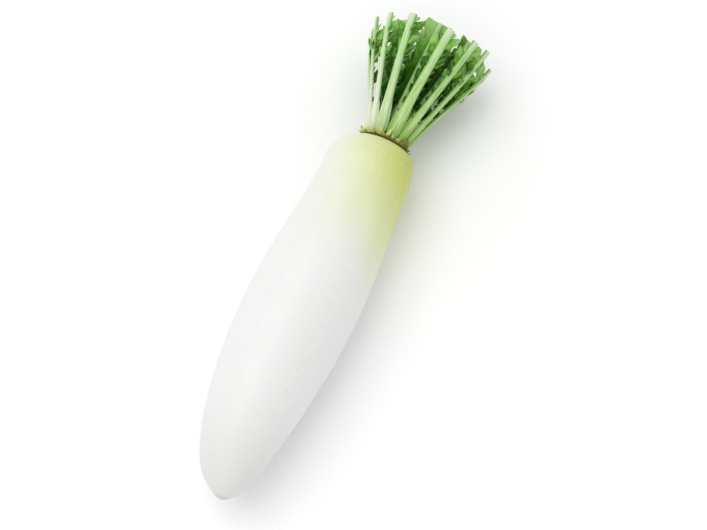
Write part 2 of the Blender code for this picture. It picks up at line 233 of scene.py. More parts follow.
# Papery scraps on one side of the crown, pale ones first
SCRAP_COUNT = 13
SCRAP_AZIMUTHS = (radians(88), radians(236))
SCRAP_PALE_END = radians(190)
SCRAP_PALE = 0.85
SCRAP_DARK = (0.3, 0.55)
SCRAP_WIDTHS = (0.0018, 0.0046)
SCRAP_HEIGHTS = (0.0026, 0.0094)
SCRAP_LEANS = (radians(4), radians(34))
SCRAP_PEAK = 0.7
SCRAP_SLANT = 0.45
SCRAP_TEARS = (0.86, 1.04)
SCRAP_CURLS = (-0.25, 0.35)
SCRAP_RIPPLE = 0.05
SCRAP_BULGE = 0.0006
SCRAP_THICKNESS = 0.00025

# The stalks' ribs and cut faces
RIB_COUNT = 11
RIB_DEPTH = 0.022
CUT_INSET = 0.94
CUT_HOLLOW = 0.00035

# How much painted shade the stalks of the inner rings get, and outer ones on the bunch's right
RING_SHADE = {"middle": 0.16, "inner": 0.40}
PAINTED_RIGHT_SHADE = 0.08

# The blades' thickness, teeth, waves (lower on narrower leaflets) and veins
SKIN_THICKNESS = 0.00034
TOOTH_DEPTH = 0.16
TOOTH_BACK = 0.7
TEETH_PER_WING = 21
TEETH_PER_LEAFLET = 5
CRINKLE = 0.0005
CRINKLE_WIDTH = 0.005
WING_WAVES_UP = 41
WING_WAVES_ACROSS = 4.5
LEAFLET_WAVES = 15
VEIN_SPACING = 0.0026
VEIN_SLANT = 0.75

# Sheathing flaps along both edges of a stalk's foot
MARGIN_START = 0.004
MARGIN_END = 0.34
MARGIN_REACH = 0.0017
MARGIN_SUNK = 0.0006
MARGIN_OUT = 0.15
MARGIN_CURL = 0.75
MARGIN_THICKNESS = 0.00045
MARGIN_INNER = 0.18
MARGIN_ROWS = 22
MARGIN_COLUMNS = 5

# Bristles: their places along and round a stalk, and the corners of a bristle's foot
HAIRS_PER_STALK = 46
HAIR_PLACES = (0.22, 0.97)
HAIR_SPREAD = 1.9
HAIR_LEANS = (-0.5, 0.3)
HAIR_LENGTHS = (0.0005, 0.0012)
HAIR_RADIUS = 0.00006
HAIR_CORNERS = ((1.0, 0.0), (-0.5, 0.87), (-0.5, -0.87))

# Pegs between an outer stalk's leaflets, as (place along it, length, half width)
EXTRA_PEGS = (
    (0.24, 0.0036, 0.0010),
    (0.42, 0.0052, 0.0014),
    (0.57, 0.0056, 0.0015),
    (0.73, 0.0060, 0.0017),
    (0.91, 0.0060, 0.0019),
)

# Small leaflets that fill the gaps inside the bunch, and some on its outside: dark with painted shade
# low down, bright with painted light by the cut. counts are for a stalk of each ring, sides
# multiplies them on the bunch's open left and right, and turns are in degrees
Fill = namedtuple("Fill", "counts sides along lengths slimness turns")
FILLS = (
    Fill((8, 12, 11), 0.25, (0.25, 0.72), (0.0060, 0.0115), 0.32, (15, 75)),
    Fill((4, 6, 4), 1.2, (0.68, 0.88), (0.0085, 0.0135), 0.40, (5, 60)),
    Fill((4, 0, 0), 1.0, (0.58, 0.88), (0.0060, 0.0100), 0.34, (-48, -8)),
)
# Painted light: leaflets on the left and right are as bright as others that are this much nearer the
# cut
LEFT_PAINTED_LIGHT = 0.15
RIGHT_PAINTED_LIGHT = 0.07

# The photograph's camera
PHOTO_WIDTH = 707
FOCAL_PIXELS = 1637.3
SENSOR_WIDTH = 36.0
CAMERA_AZIMUTH = radians(-66.85)
CAMERA_ELEVATION = radians(72.9)
CAMERA_DISTANCE = 1.25
CAMERA_AIM = Vector((0.03, 0.0, 0.04))
CAMERA_RIGHT = 0.0235
CAMERA_UP = -0.0030
CAMERA_NEAR = 0.01

# Light and floor
FLOOR_SIZE = 12.0
SKY_STRENGTH = 0.84
KEY_POWER = 24.0
KEY_SIZE = 2.3
KEY_DISTANCE = 2.6
KEY_TURN = radians(240)
KEY_ELEVATION = radians(68)


# Shared shapes, as in the part's source


def read_curve(points, x):
    """The height at x of a smooth line through points, with level ends."""
    last = len(points) - 1
    slopes = [0.0] * len(points)
    for i in range(1, last):
        run = points[i + 1][0] - points[i - 1][0]
        slopes[i] = (points[i + 1][1] - points[i - 1][1]) / run
    i = 0
    while i < last - 1 and x > points[i + 1][0]:
        i += 1
    run = points[i + 1][0] - points[i][0]
    t = min(1.0, max(0.0, (x - points[i][0]) / run))
    start = (1 + 2 * t) * (1 - t) ** 2 * points[i][1] + t * (1 - t) ** 2 * run * slopes[i]
    end = t * t * (3 - 2 * t) * points[i + 1][1] - t * t * (1 - t) * run * slopes[i + 1]
    return start + end


def row_points(points):
    """Points of the growth frame, laid down in the row frame."""
    points = np.asarray(points, float).reshape(-1, 3)
    across = points[:, 1] - read_curve(BOW, REST_SHARE)
    return np.stack([REST_SHARE * ROOT_LENGTH + points[:, 2], across, AXIS_HEIGHT - points[:, 0]], 1)


def lowest_tilt(azimuth, ring):
    """The most that a stalk of this ring may tilt before it would reach the surface."""
    down = cos(azimuth)
    if down < LOW_SIDE:
        return pi / 2
    room = AXIS_HEIGHT - ring.thick - SURFACE_CLEARANCE - RING_LIFT[ring.name]
    return asin(min(1.0, room / down / CUT_RADIUS))


def stalk_place(ring, index, source):
    """The azimuth, turn and girth of one of a ring's stalks."""
    if ring is OUTER:
        azimuth, twist, girth = OUTER_PLACES[index]
        return radians(azimuth), radians(twist), girth
    azimuth = radians(ring.azimuth + 360 * index / ring.count)
    return azimuth, source.uniform(-TWIST, TWIST), source.uniform(*GIRTHS)


def grow_stalk(number, ring, index, source):
    """One stalk of a ring, a little unlike its neighbours."""
    azimuth, twist, girth = stalk_place(ring, index, source)
    free_tilt = asin(ring.spread * source.uniform(*SPREADS) / CUT_RADIUS)
    signed = (azimuth + pi) % (2 * pi) - pi
    return Stalk(
        name=f"leaf_stalk_{number:02d}",
        azimuth=azimuth,
        tilt_base=asin(ring.seat / DOME_RADIUS),
        tilt_end=min(free_tilt, lowest_tilt(azimuth + twist, ring)),
        twist=twist,
        roll=-signed * max(0.0, cos(azimuth)) ** 4,
        bulge=source.uniform(0.0, BULGE),
        girth=girth,
        length=LEAF_LENGTH * source.uniform(*LENGTHS),
        ring=ring,
    )


def grow_stalks():
    """Every leaf stalk of the fan, ring by ring."""
    source = random.Random(11)
    stalks = []
    for ring in RINGS:
        for index in range(ring.count):
            stalks.append(grow_stalk(len(stalks) + 1, ring, index, source))
    return stalks


def stalk_centre(stalk, share):
    """A point of the stalk's centreline, from its seat at share 0 to the cut at share 1."""
    ease = share * share * (3 - 2 * share)
    tilt = stalk.tilt_base + (stalk.tilt_end - stalk.tilt_base) * ease
    tilt += stalk.bulge * sin(pi * share) * share
    azimuth = stalk.azimuth + stalk.twist * ease
    reach = DOME_RADIUS + GAP + stalk.length * share
    radius = reach * sin(tilt)
    height = FAN_CENTRE + reach * cos(tilt)
    sway = FAN_SWAY * (max(0.0, height) / LEAF_LENGTH) ** 1.5
    return Vector((radius * cos(azimuth), radius * sin(azimuth) - sway, height))


def stalk_frame(stalk, share):
    """Centre and axes there: along the stalk, out from the growth axis, and to its side."""
    step = 0.004
    centre = stalk_centre(stalk, share)
    along = (stalk_centre(stalk, share + step) - stalk_centre(stalk, share - step)).normalized()
    azimuth = stalk.azimuth + stalk.twist * share * share * (3 - 2 * share)
    azimuth += stalk.roll * share
    out = Vector((cos(azimuth), sin(azimuth), 0.0))
    out = (out - along * out.dot(along)).normalized()
    return centre, along, out, along.cross(out)


def stalk_size(stalk, share):
    """Half width and half thickness: a broad sheathing foot, then nearly even."""
    width = stalk.ring.width * stalk.girth * read_curve(WIDTH_SHARE, share)
    thick = stalk.ring.thick * stalk.girth * read_curve(THICK_SHARE, share)
    return width, thick


def sized_leaflet(stalk, leaflet, hand):
    """The leaflet as this stalk bears it on one edge: smaller on a thinner stalk."""
    size = min(1.0, stalk.girth) * LEAFLET_SIZE
    along = leaflet.along + LEAFLET_STAGGER * hand
    return leaflet._replace(along=along, length=leaflet.length * size, width=leaflet.width * size)


def leaflet_rows(stalk, leaflet, hand):
    """Rows of (left edge, midrib, right edge) points of a leaflet's upper face."""
    centre, along, out, side = stalk_frame(stalk, leaflet.along)
    width, _ = stalk_size(stalk, leaflet.along)
    start = centre + side * hand * (width - SUNK)
    heading = along * cos(LEAFLET_SWEEP) + side * hand * sin(LEAFLET_SWEEP)
    inward = -out
    across = heading.cross(inward).normalized()
    rows = []
    for share, left, right in leaflet.outline:
        curl = LEAFLET_CURLS[hand] * leaflet.length * share**2
        rib = start + heading * leaflet.length * share + inward * curl
        row = []
        for reach in (-left, 0.0, right):
            rise = LEAFLET_FOLD * leaflet.width * abs(reach)
            row.append(rib + across * leaflet.width * reach + inward * rise)
        rows.append(row)
    return rows, inward


def wing_rows(stalk, hand):
    """Rows of (stalk edge, middle, blade edge) points, lobed and ruffled along the edge."""
    under = max(0.0, cos(stalk.azimuth))
    full_reach = WING_REACH[stalk.ring.name] * (1 - LOW_WING_LOSS * under)
    opening = (WING_OPEN[stalk.ring.name] - WING_SKEW * hand) * (1 - under)
    rows = []
    for i in range(WING_ROWS):
        share = WING_START + (1 - WING_START) * i / (WING_ROWS - 1)
        centre, along, out, side = stalk_frame(stalk, share)
        width, _ = stalk_size(stalk, share)
        lobe = 1.0 if i % 2 else WING_NOTCH
        reach = full_reach * lobe * (WING_FOOT + (1 - WING_FOOT) * share)
        ruffle = WING_RUFFLE * sin(2.4 * i + 3.0 * stalk.azimuth + hand)
        start = centre + side * hand * (width - SUNK)
        end = centre + side * hand * (width + reach) + out * (opening * reach + ruffle)
        end += along * WING_SWEEP * lobe
        middle = (start + end) / 2 - out * ruffle
        rows.append((start, middle, end))
    return rows, stalk_frame(stalk, 0.7)[2]


# Fine surfaces


def add_object(name, data):
    """A new object in the scene."""
    obj = bpy.data.objects.new(name, data)
    bpy.context.scene.collection.objects.link(obj)
    return obj


class Piece:
    """Points, faces and surface values of one piece, gathered part by part.

    grown is each point's place on the straightened piece, and tone holds three shares
    that its materials read.
    """

    def __init__(self, name):
        self.name = name
        self.points, self.grown, self.tone = [], [], []
        self.faces, self.kinds = [], []
        self.count = 0

    def add(self, points, faces, kind, grown, tone):
        """Adds a part with the material at place kind; fewer values than points repeat."""
        points = np.asarray(points, float).reshape(-1, 3)
        self.points.append(points)
        self.grown.append(np.resize(grown, points.shape))
        self.tone.append(np.resize(tone, points.shape))
        for face in faces:
            self.faces.append([self.count + int(i) for i in face])
        self.kinds.extend([kind] * len(faces))
        self.count += len(points)

    def make(self, materials, node):
        """Adds the piece to the scene in place of a CAD node."""
        mesh = bpy.data.meshes.new(self.name)
        mesh.from_pydata(row_points(np.concatenate(self.points)).tolist(), [], self.faces)
        for name, values in (("grown", self.grown), ("tone", self.tone)):
            layer = mesh.attributes.new(name, "FLOAT_VECTOR", "POINT")
            layer.data.foreach_set("vector", np.concatenate(values).astype(np.float32).ravel())
        for material in materials:
            mesh.materials.append(material)
        mesh.polygons.foreach_set("material_index", self.kinds)
        mesh.shade_smooth()
        mesh.update()
        obj = add_object(self.name, mesh)
        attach(obj, "root")
        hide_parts(node)


def grid_places(size):
    """Places up a sheet as a column, from 0 to 1, and across it as a row, from -1 to 1."""
    return np.linspace(0, 1, size[0])[:, None], np.linspace(-1, 1, size[1])


def grid_of(*values):
    """Joins values that are numbers, rows or columns into one grid of points."""
    return np.stack(np.broadcast_arrays(*values), -1)


def grid_faces(place, closed=False):
    """Four-sided faces of a grid of points' places, closed into a tube or open."""
    if closed:
        place = np.hstack([place, place[:, :1]])
    corners = (place[:-1, :-1], place[:-1, 1:], place[1:, 1:], place[1:, :-1])
    return np.stack(corners, -1).reshape(-1, 4).tolist()


def tube_faces(rows, columns, foot=True, top=True):
    """Faces of a tube of points, closed at its foot and top unless told otherwise."""
    place = np.arange(rows * columns).reshape(rows, columns)
    faces = grid_faces(place, closed=True)
    if foot:
        faces.append(place[0, ::-1].tolist())
    if top:
        faces.append(place[-1].tolist())
    return faces


def unit(vectors):
    return vectors / np.maximum(np.linalg.norm(vectors, axis=-1, keepdims=True), TINY)


def thin_solid(top, thickness, towards):
    """Both faces and the rim of a thin sheet whose upper face is a grid of points."""
    rows, columns = top.shape[:2]
    normal = unit(np.cross(np.gradient(top, axis=0), np.gradient(top, axis=1)))
    if (normal.mean((0, 1)) * np.array(towards)).sum() < 0:
        normal = -normal
    full = np.sin(np.linspace(0, pi, columns))[:, None] ** EDGE_ROUNDING
    under = top - normal * thickness * (EDGE_THICKNESS + (1 - EDGE_THICKNESS) * full)
    count = rows * columns
    place = np.arange(count).reshape(rows, columns)
    faces = grid_faces(place)
    faces += [face[::-1] for face in grid_faces(place + count)]
    ring = [*place[0], *place[1:, -1], *place[-1, -2::-1], *place[-2:0:-1, 0]]
    for a, b in zip(ring, ring[1:] + ring[:1]):
        faces.append((b, a, a + count, b + count))
    return np.concatenate([top.reshape(-1, 3), under.reshape(-1, 3)]), faces


def smooth_rows(rows, count):
    """A smooth surface through rows of points, as count rows."""
    rows = np.array(rows, float)
    ahead = 2 * rows[:1] - rows[1:2]
    beyond = 2 * rows[-1:] - rows[-2:-1]
    knots = np.concatenate([ahead, rows, beyond])
    place = np.linspace(0, len(rows) - 1, count)
    i = np.minimum(place.astype(int), len(rows) - 2)
    t = (place - i)[:, None, None]
    a, b, c, d = knots[i], knots[i + 1], knots[i + 2], knots[i + 3]
    curve = 2 * b + (c - a) * t + (2 * a - 5 * b + 4 * c - d) * t**2
    return 0.5 * (curve + (3 * b - a - 3 * c + d) * t**3)


def across_three(rows, places):
    """Points at the given places, 0 to 1, on a curve through each row's three points."""
    t = np.broadcast_to(places, (len(rows), places.shape[-1]))[..., None]
    first, middle, last = (rows[:, None, k] for k in range(3))
    return first * (1 - t) * (1 - 2 * t) + middle * 4 * t * (1 - t) + last * t * (2 * t - 1)


def cut_columns(grid, centre, along):
    """Ends each column of a grid of points where it meets the knife's plane."""
    heights = (grid - np.array(centre)) @ np.array(along)
    steps = np.arange(len(grid))
    cut = grid.copy()
    for k in range(grid.shape[1]):
        above = np.nonzero(heights[:, k] > 0)[0]
        if len(above) == 0:
            continue
        i = max(1, above[0])
        low, high = heights[i - 1, k], heights[i, k]
        end = i - 1 + low / (low - high)
        places = np.linspace(0, end, len(grid))
        for axis in range(3):
            cut[:, k, axis] = np.interp(places, steps, grid[:, k, axis])
    return cut


def tooth(values):
    """A forward-pointing tooth for each unit of values, from 0 to 1."""
    part = np.mod(values, 1.0)
    return np.where(part < TOOTH_BACK, part / TOOTH_BACK, (1 - part) / (1 - TOOTH_BACK))


# The root


def outline_polyline(knots, steps):
    """(z, radius) points of the smooth outline through (z, radius, sharp corner) knots."""
    outline = bpy.data.curves.new("outline", "CURVE")
    outline.dimensions = "3D"
    outline.resolution_u = steps
    spline = outline.splines.new("BEZIER")
    spline.bezier_points.add(len(knots) - 1)
    for point, (z, radius, sharp) in zip(spline.bezier_points, knots):
        point.co = (radius, 0.0, z)
        kind = "VECTOR" if sharp else "AUTO"
        point.handle_left_type = kind
        point.handle_right_type = kind
    guide = add_object("outline", outline)
    bpy.context.view_layer.update()
    graph = bpy.context.evaluated_depsgraph_get()
    mesh = guide.evaluated_get(graph).to_mesh()
    line = np.array([(v.co.z, v.co.x) for v in mesh.vertices])
    bpy.data.objects.remove(guide)
    bpy.data.curves.remove(outline)
    return line


def resample(line, count):
    """The same line with points an even distance apart."""
    steps = np.linalg.norm(np.diff(line, axis=0), axis=1)
    run = np.concatenate([[0.0], np.cumsum(steps)])
    places = np.linspace(0, run[-1], count)
    return np.stack([np.interp(places, run, line[:, k]) for k in range(2)], 1)


def swelling(share, angle):
    """How many times as wide the root is there as its outline says."""
    amount = 0.0
    for size, waves, turn, phase in SWELLINGS:
        amount = amount + size * np.cos(waves * angle + turn * share + phase)
    return 1 + amount * np.clip(share / SWELLING_START, 0, 1)


def greenness(share, angle):
    """How green the skin is: strongest round the shoulder and on one side of it. The green is the
    root's own, but its fading on the lit +Y side is painted light.
    """
    side = -np.sin(angle)
    reach = GREEN_REACH + 0.03 * side + 0.02 * np.sin(3 * angle + 1.0)
    fade = np.clip((reach - share) / (reach - GREEN_START), 0, 1)
    return fade**1.15 * (GREEN_AROUND + GREEN_SIDE * side)


def make_root(materials):
    """The taproot, with faint wrinkles round it."""
    knots = []
    for share, radius, sharp in ROOT_OUTLINE:
        knots.append((-share * ROOT_LENGTH, radius * ROOT_RADIUS, sharp))
    line = resample(outline_polyline(knots, OUTLINE_STEPS), ROOT_RINGS)
    z = line[1:-1, 0][:, None]
    radius = line[1:-1, 1][:, None]
    share = -z / ROOT_LENGTH
    turn = 2 * np.pi * np.arange(ROOT_SIDES) / ROOT_SIDES
    sides = [(cos(a) * WRINKLES_ROUND, sin(a) * WRINKLES_ROUND) for a in turn]
    shares = share[:, 0]
    wrinkle = np.array([[noise.noise((x, y, s * WRINKLES_ALONG)) for x, y in sides] for s in shares])
    wide = radius * swelling(share, turn)
    wide = wide + ROOT_WRINKLE * wrinkle * np.clip(share / SWELLING_START, 0, 1)
    bow = np.array([read_curve(BOW, s) for s in shares])[:, None]
    points = grid_of(np.minimum(wide * np.cos(turn), AXIS_HEIGHT), wide * np.sin(turn) + bow, z)
    grown = grid_of(radius * np.cos(turn), radius * np.sin(turn), z)
    tone = grid_of(greenness(share, turn), share, radius / ROOT_RADIUS)
    piece = Piece("root_skin")
    faces = [face[::-1] for face in tube_faces(len(z), ROOT_SIDES)]
    piece.add(points, faces, 0, grown, tone)
    piece.make(materials, "root")


# The crown


FLESH, DRY = range(2)


def make_dome(piece):
    """The short stem's rough top, down to its foot on the root."""
    edge_angle = asin(CROWN_RADIUS / DOME_RADIUS)
    turns = 2 * np.pi * np.arange(CROWN_SIDES) / CROWN_SIDES
    points, tone = [], []
    for place in np.linspace(DOME_START, 1, CROWN_ROWS):
        for turn in turns:
            direction = Vector((cos(turn), sin(turn), 0.0))
            rough = noise.fractal(direction * 3 + Vector((0, 0, place * 7)), 1.0, 2.0, 3)
            reach = DOME_RADIUS + DOME_ROUGHNESS * rough * place
            tilt = edge_angle * place
            spot = direction * reach * sin(tilt)
            spot.z = FAN_CENTRE + reach * cos(tilt)
            points.append(tuple(spot))
            tone.append((place, 0.5 + 0.5 * rough, 0.0))
    for turn in turns:
        wear = noise.noise(Vector((cos(turn), sin(turn), 5.0)) * 4)
        reach = CROWN_RADIUS * FOOT_SHARE * (1 - FOOT_WEAR * abs(wear))
        points.append((reach * cos(turn), reach * sin(turn), GAP))
        tone.append((1.15, 0.2, 0.0))
    piece.add(points, tube_faces(CROWN_ROWS + 1, CROWN_SIDES), FLESH, points, tone)


def scale_matrix(azimuth, lean):
    """Where a dry scale stands on the crown's rim, leaning out."""
    stand = Matrix.Translation((SCALE_RADIUS, 0, CROWN_RIM * 0.5))
    return Matrix.Rotation(azimuth, 4, "Z") @ stand @ Matrix.Rotation(lean, 4, "Y")


def add_dry_sheet(piece, matrix, sheet, thickness, tone):
    """Adds a dry sheet, made upright at the origin, where it stands on the crown."""
    points, faces = thin_solid(sheet, thickness, (1, 0, 0))
    world = [tuple(matrix @ Vector(point)) for point in points]
    piece.add(world, faces, DRY, points, tone)


def torn_edge(source, low, high):
    """How high each column of a torn sheet reaches, as a share of its height."""
    return np.array([source.uniform(low, high) for _ in range(SCALE_GRID[1])])


def make_scale(piece, index, source, fine):
    """One dry leaf base: a curled, torn sheet that leans out from the crown's rim."""
    azimuth = 2 * pi * (index + source.uniform(-SCALE_JITTER, SCALE_JITTER)) / SCALE_COUNT
    width = source.uniform(*SCALE_WIDTHS)
    height = source.uniform(*SCALE_HEIGHTS)
    thick = source.uniform(*SCALE_THICKNESSES)
    tip = source.uniform(*SCALE_TIPS)
    matrix = scale_matrix(azimuth, source.uniform(*SCALE_LEANS))
    up, across = grid_places(SCALE_GRID)
    torn = torn_edge(fine, *SCALE_TEARS)
    half = width * (1 + (tip - 1) * up) * (1 + 0.10 * np.sin(9 * up + index))
    z = height * up * (1 - (1 - torn) * up**2)
    hollow = thick * (0.5 - 0.9 * across**2 * (1 - 0.4 * up))
    x = hollow + SCALE_CURL * height * up**2 * sin(3.1 * index)
    tone = grid_of(up, np.abs(across), fine.uniform(0, 1))
    add_dry_sheet(piece, matrix, grid_of(x, half * across, z), thick * 0.9, tone)


def make_scrap(piece, index, source):
    """A papery scrap of old leaf sheath against the stalks' feet, with a ragged top."""
    low, high = SCRAP_AZIMUTHS
    azimuth = low + (high - low) * (index + source.random()) / SCRAP_COUNT
    width = source.uniform(*SCRAP_WIDTHS)
    height = source.uniform(*SCRAP_HEIGHTS)
    matrix = scale_matrix(azimuth, source.uniform(*SCRAP_LEANS))
    up, across = grid_places(SCALE_GRID)
    peak = source.uniform(-SCRAP_PEAK, SCRAP_PEAK)
    torn = 1 - SCRAP_SLANT * np.abs(across - peak) ** 1.5
    torn = torn * torn_edge(source, *SCRAP_TEARS)
    y = width * (1 - 0.25 * up) * across
    z = height * up * (1 - (1 - torn) * up)
    curl = source.uniform(*SCRAP_CURLS)
    ripple = SCRAP_RIPPLE * height * np.sin(7 * up + 5 * across)
    x = SCRAP_BULGE * (1 - across**2) + curl * height * up**2 + ripple
    shade = SCRAP_PALE if azimuth < SCRAP_PALE_END else source.uniform(*SCRAP_DARK)
    tone = grid_of(up, np.abs(across), shade)
    add_dry_sheet(piece, matrix, grid_of(x, y, z), SCRAP_THICKNESS, tone)


def make_shred(piece, source):
    """A short dark fibre, left where an old leaf tore away."""
    azimuth = source.uniform(0, 2 * pi)
    length = source.uniform(*SHRED_LENGTHS)
    half = source.uniform(*SHRED_WIDTHS)
    matrix = scale_matrix(azimuth, source.uniform(*SHRED_LEANS))
    bend = source.uniform(-SHRED_BEND, SHRED_BEND)
    up, across = grid_places(SHRED_GRID)
    y = half * (1 - 0.85 * up) * across + bend * length * up**2
    sheet = grid_of(0.4 * bend * length * up**2, y, length * up)
    add_dry_sheet(piece, matrix, sheet, half * 0.6, (0.15, 0.9, source.uniform(0, 0.3)))


def make_crown(materials):
    """The short stem between root and leaves, ringed by dry torn leaf bases."""
    piece = Piece("crown_collar")
    make_dome(piece)
    source = random.Random(4)
    fine = random.Random(41)
    for index in range(SCALE_COUNT):
        make_scale(piece, index, source, fine)
    for _ in range(SHRED_COUNT):
        make_shred(piece, fine)
    for index in range(SCRAP_COUNT):
        make_scrap(piece, index, fine)
    piece.make(materials, "crown")


# The leaf stalks

SKIN, BLADE, CUT = range(3)


def stalk_shade(stalk):
    """How much painted shade a stalk gets, on the inner rings and on the bunch's right, or below zero
    how much painted light it gets on the bunch's left.
    """
    if stalk.ring is OUTER:
        pale = sin(stalk.azimuth)
        return -pale if pale > 0 else -pale * PAINTED_RIGHT_SHADE
    return RING_SHADE[stalk.ring.name]


def beside(stalk):
    """How far a stalk stands out on the left of the bunch, or an outer one on the right."""
    side = sin(stalk.azimuth)
    open_side = stalk.ring is OUTER or (stalk.ring is MIDDLE and side > 0)
    return side**2 if open_side else 0.0


def add_rings(piece, stalk, kind, rings):
    """The stalk's skin, or its cut, through ribbed rings of points given as (share, inset)."""
    shade = stalk_shade(stalk)
    points, grown, tone = [], [], []
    for share, inset in rings:
        centre, along, out, side = stalk_frame(stalk, share)
        width, thick = stalk_size(stalk, share)
        sunk = CUT_HOLLOW * (1 - inset**3)
        for k in range(STALK_SIDES):
            angle = 2 * pi * k / STALK_SIDES
            inner = ((1 - cos(angle)) / 2) ** 4
            rib = 1 + RIB_DEPTH * cos(RIB_COUNT * angle) * (1 - inner)
            reach = thick * (cos(angle) + GROOVE * inner) * rib * inset
            wide = width * sin(angle) * rib * inset
            points.append(tuple(centre + out * reach + side * wide - along * sunk))
            place = (thick * cos(angle) * inset, width * sin(angle) * inset, stalk.length * share)
            grown.append(place)
            inward = 0.5 - 0.5 * cos(angle)
            tone.append((share, inward, shade) if kind == SKIN else (share, inset, 0.0))
    faces = tube_faces(len(rings), STALK_SIDES, foot=kind == SKIN, top=kind == CUT)
    piece.add(points, faces, kind, grown, tone)


def add_stem(piece, stalk):
    """The stalk's skin, closed at its foot."""
    last = STALK_STATIONS - 1
    add_rings(piece, stalk, SKIN, [(i / last, 1.0) for i in range(STALK_STATIONS)])


def add_cut(piece, stalk):
    """The knife's cut: a moist face that has sunk a little inside its rim."""
    last = CUT_ROWS - 1
    add_rings(piece, stalk, CUT, [(1.0, 1 - CUT_INSET * i / last) for i in range(CUT_ROWS)])


def add_blade(piece, sheet, towards, along, across, height, shade):
    """A thin blade with veins: along and across are lengths on it from its foot and rib."""
    points, faces = thin_solid(sheet, SKIN_THICKNESS, towards)
    tone = grid_of(height, np.abs(across) / np.abs(across).max(), shade)
    piece.add(points, faces, BLADE, grid_of(across, shade, along), tone)


def add_wing(piece, stalk, hand):
    """The lobed, toothed and ruffled wing of blade down one edge of a young leaf."""
    rows, outward = wing_rows(stalk, hand)
    places = np.linspace(0, 1, WING_COLUMNS)
    up = np.linspace(0, 1, WING_FINE_ROWS)[:, None]
    bite = 1 - TOOTH_DEPTH * tooth(up * TEETH_PER_WING + hand * 0.3)
    sheet = across_three(smooth_rows(rows, WING_FINE_ROWS), places * bite)
    wave = np.sin(up * WING_WAVES_UP + stalk.azimuth * 5) * np.sin(places * WING_WAVES_ACROSS)
    sheet += np.array(outward) * (CRINKLE * wave * places)[..., None]
    centre, along, _, _ = stalk_frame(stalk, 1.0)
    sheet = cut_columns(sheet, centre, along)
    # This height sets the blade's colour: painted shade low down, painted light by the cut and a
    # little towards the wing's outer edge
    height = WING_START + (1 - WING_START) * up + 0.06 * places
    run = up * (stalk.length * (1 - WING_START))
    across = places * WING_REACH[stalk.ring.name]
    add_blade(piece, sheet, outward, run, across, height, hand * 0.5 + stalk.azimuth)


def add_leaflet(piece, stalk, leaflet, hand, turn=0.0, grid=LEAFLET_GRID):
    """A small toothed leaflet, or a plain peg where it is too young to have teeth."""
    rows, inward = leaflet_rows(stalk, leaflet, hand)
    if turn:
        centre, along, _, _ = stalk_frame(stalk, leaflet.along)
        spin = Matrix.Rotation(turn, 3, along)
        rows = [[centre + spin @ (point - centre) for point in row] for row in rows]
        inward = spin @ inward
    up, spread = grid_places(grid)
    depth = TOOTH_DEPTH if leaflet.outline is LOBE_OUTLINE else 0.0
    bite = 1 - depth * tooth(up * TEETH_PER_LEAFLET)
    sheet = across_three(smooth_rows(rows, grid[0]), 0.5 + 0.5 * spread * bite)
    wave = np.sin(up * LEAFLET_WAVES + stalk.azimuth * 7) * spread**2
    sheet += np.array(inward) * (CRINKLE * leaflet.width / CRINKLE_WIDTH * wave)[..., None]
    # Painted light: leaflets on the bunch's left and right are coloured as if nearer the cut
    side_painted_light = LEFT_PAINTED_LIGHT if sin(stalk.azimuth) > 0 else RIGHT_PAINTED_LIGHT
    run = up * leaflet.length
    height = leaflet.along + side_painted_light * beside(stalk) + run / stalk.length
    shade = hand * 0.5 + leaflet.along + stalk.azimuth
    add_blade(piece, sheet, inward, run, spread * leaflet.width, height, shade)


def add_leaflets(piece, stalk):
    """The leaflets of an outer stalk, and smaller pegs between them."""
    pegs = [Leaflet(*peg, PEG_OUTLINE) for peg in EXTRA_PEGS]
    for leaflet in (*OUTER_LEAFLETS, *pegs):
        for hand in (-1, 1):
            add_leaflet(piece, stalk, sized_leaflet(stalk, leaflet, hand), hand)


def add_fill(piece, stalk, fill, source):
    """Small leaflets turned about their stalk, which fill the bunch between the stalks."""
    count = round(fill.counts[RINGS.index(stalk.ring)] * (1 + (fill.sides - 1) * beside(stalk)))
    low, high = fill.along
    for index in range(count):
        hand = 1 if index % 2 else -1
        along = low + (high - low) * (index + source.random()) / count
        length = source.uniform(*fill.lengths)
        leaflet = Leaflet(along, length, length * fill.slimness, LOBE_OUTLINE)
        turn = radians(source.uniform(*fill.turns)) * hand
        add_leaflet(piece, stalk, leaflet, hand, turn, FILL_GRID)


def add_margin(piece, stalk, hand):
    """The thin sheathing flap along one edge of the stalk's foot."""
    shares = np.linspace(MARGIN_START, MARGIN_END, MARGIN_ROWS)
    sheet, grown = [], []
    for share in shares:
        centre, _, out, side = stalk_frame(stalk, share)
        width, thick = stalk_size(stalk, share)
        reach = MARGIN_REACH * sin(pi * (share / MARGIN_END) ** 0.6) ** 0.7
        edge = centre + side * hand * (width - MARGIN_SUNK) + out * thick * MARGIN_OUT
        row = []
        for part in np.linspace(0, 1, MARGIN_COLUMNS):
            bend = out * MARGIN_CURL * reach * part**2
            row.append(tuple(edge + side * hand * reach * part - bend))
            grown.append((thick * 0.5, hand * (width + reach * part), stalk.length * share))
        sheet.append(row)
    _, _, out, _ = stalk_frame(stalk, MARGIN_END / 2)
    points, faces = thin_solid(np.array(sheet), MARGIN_THICKNESS, out)
    shade = stalk_shade(stalk)
    tone = [(share, MARGIN_INNER, shade) for share in shares for _ in range(MARGIN_COLUMNS)]
    piece.add(points, faces, SKIN, grown, tone)


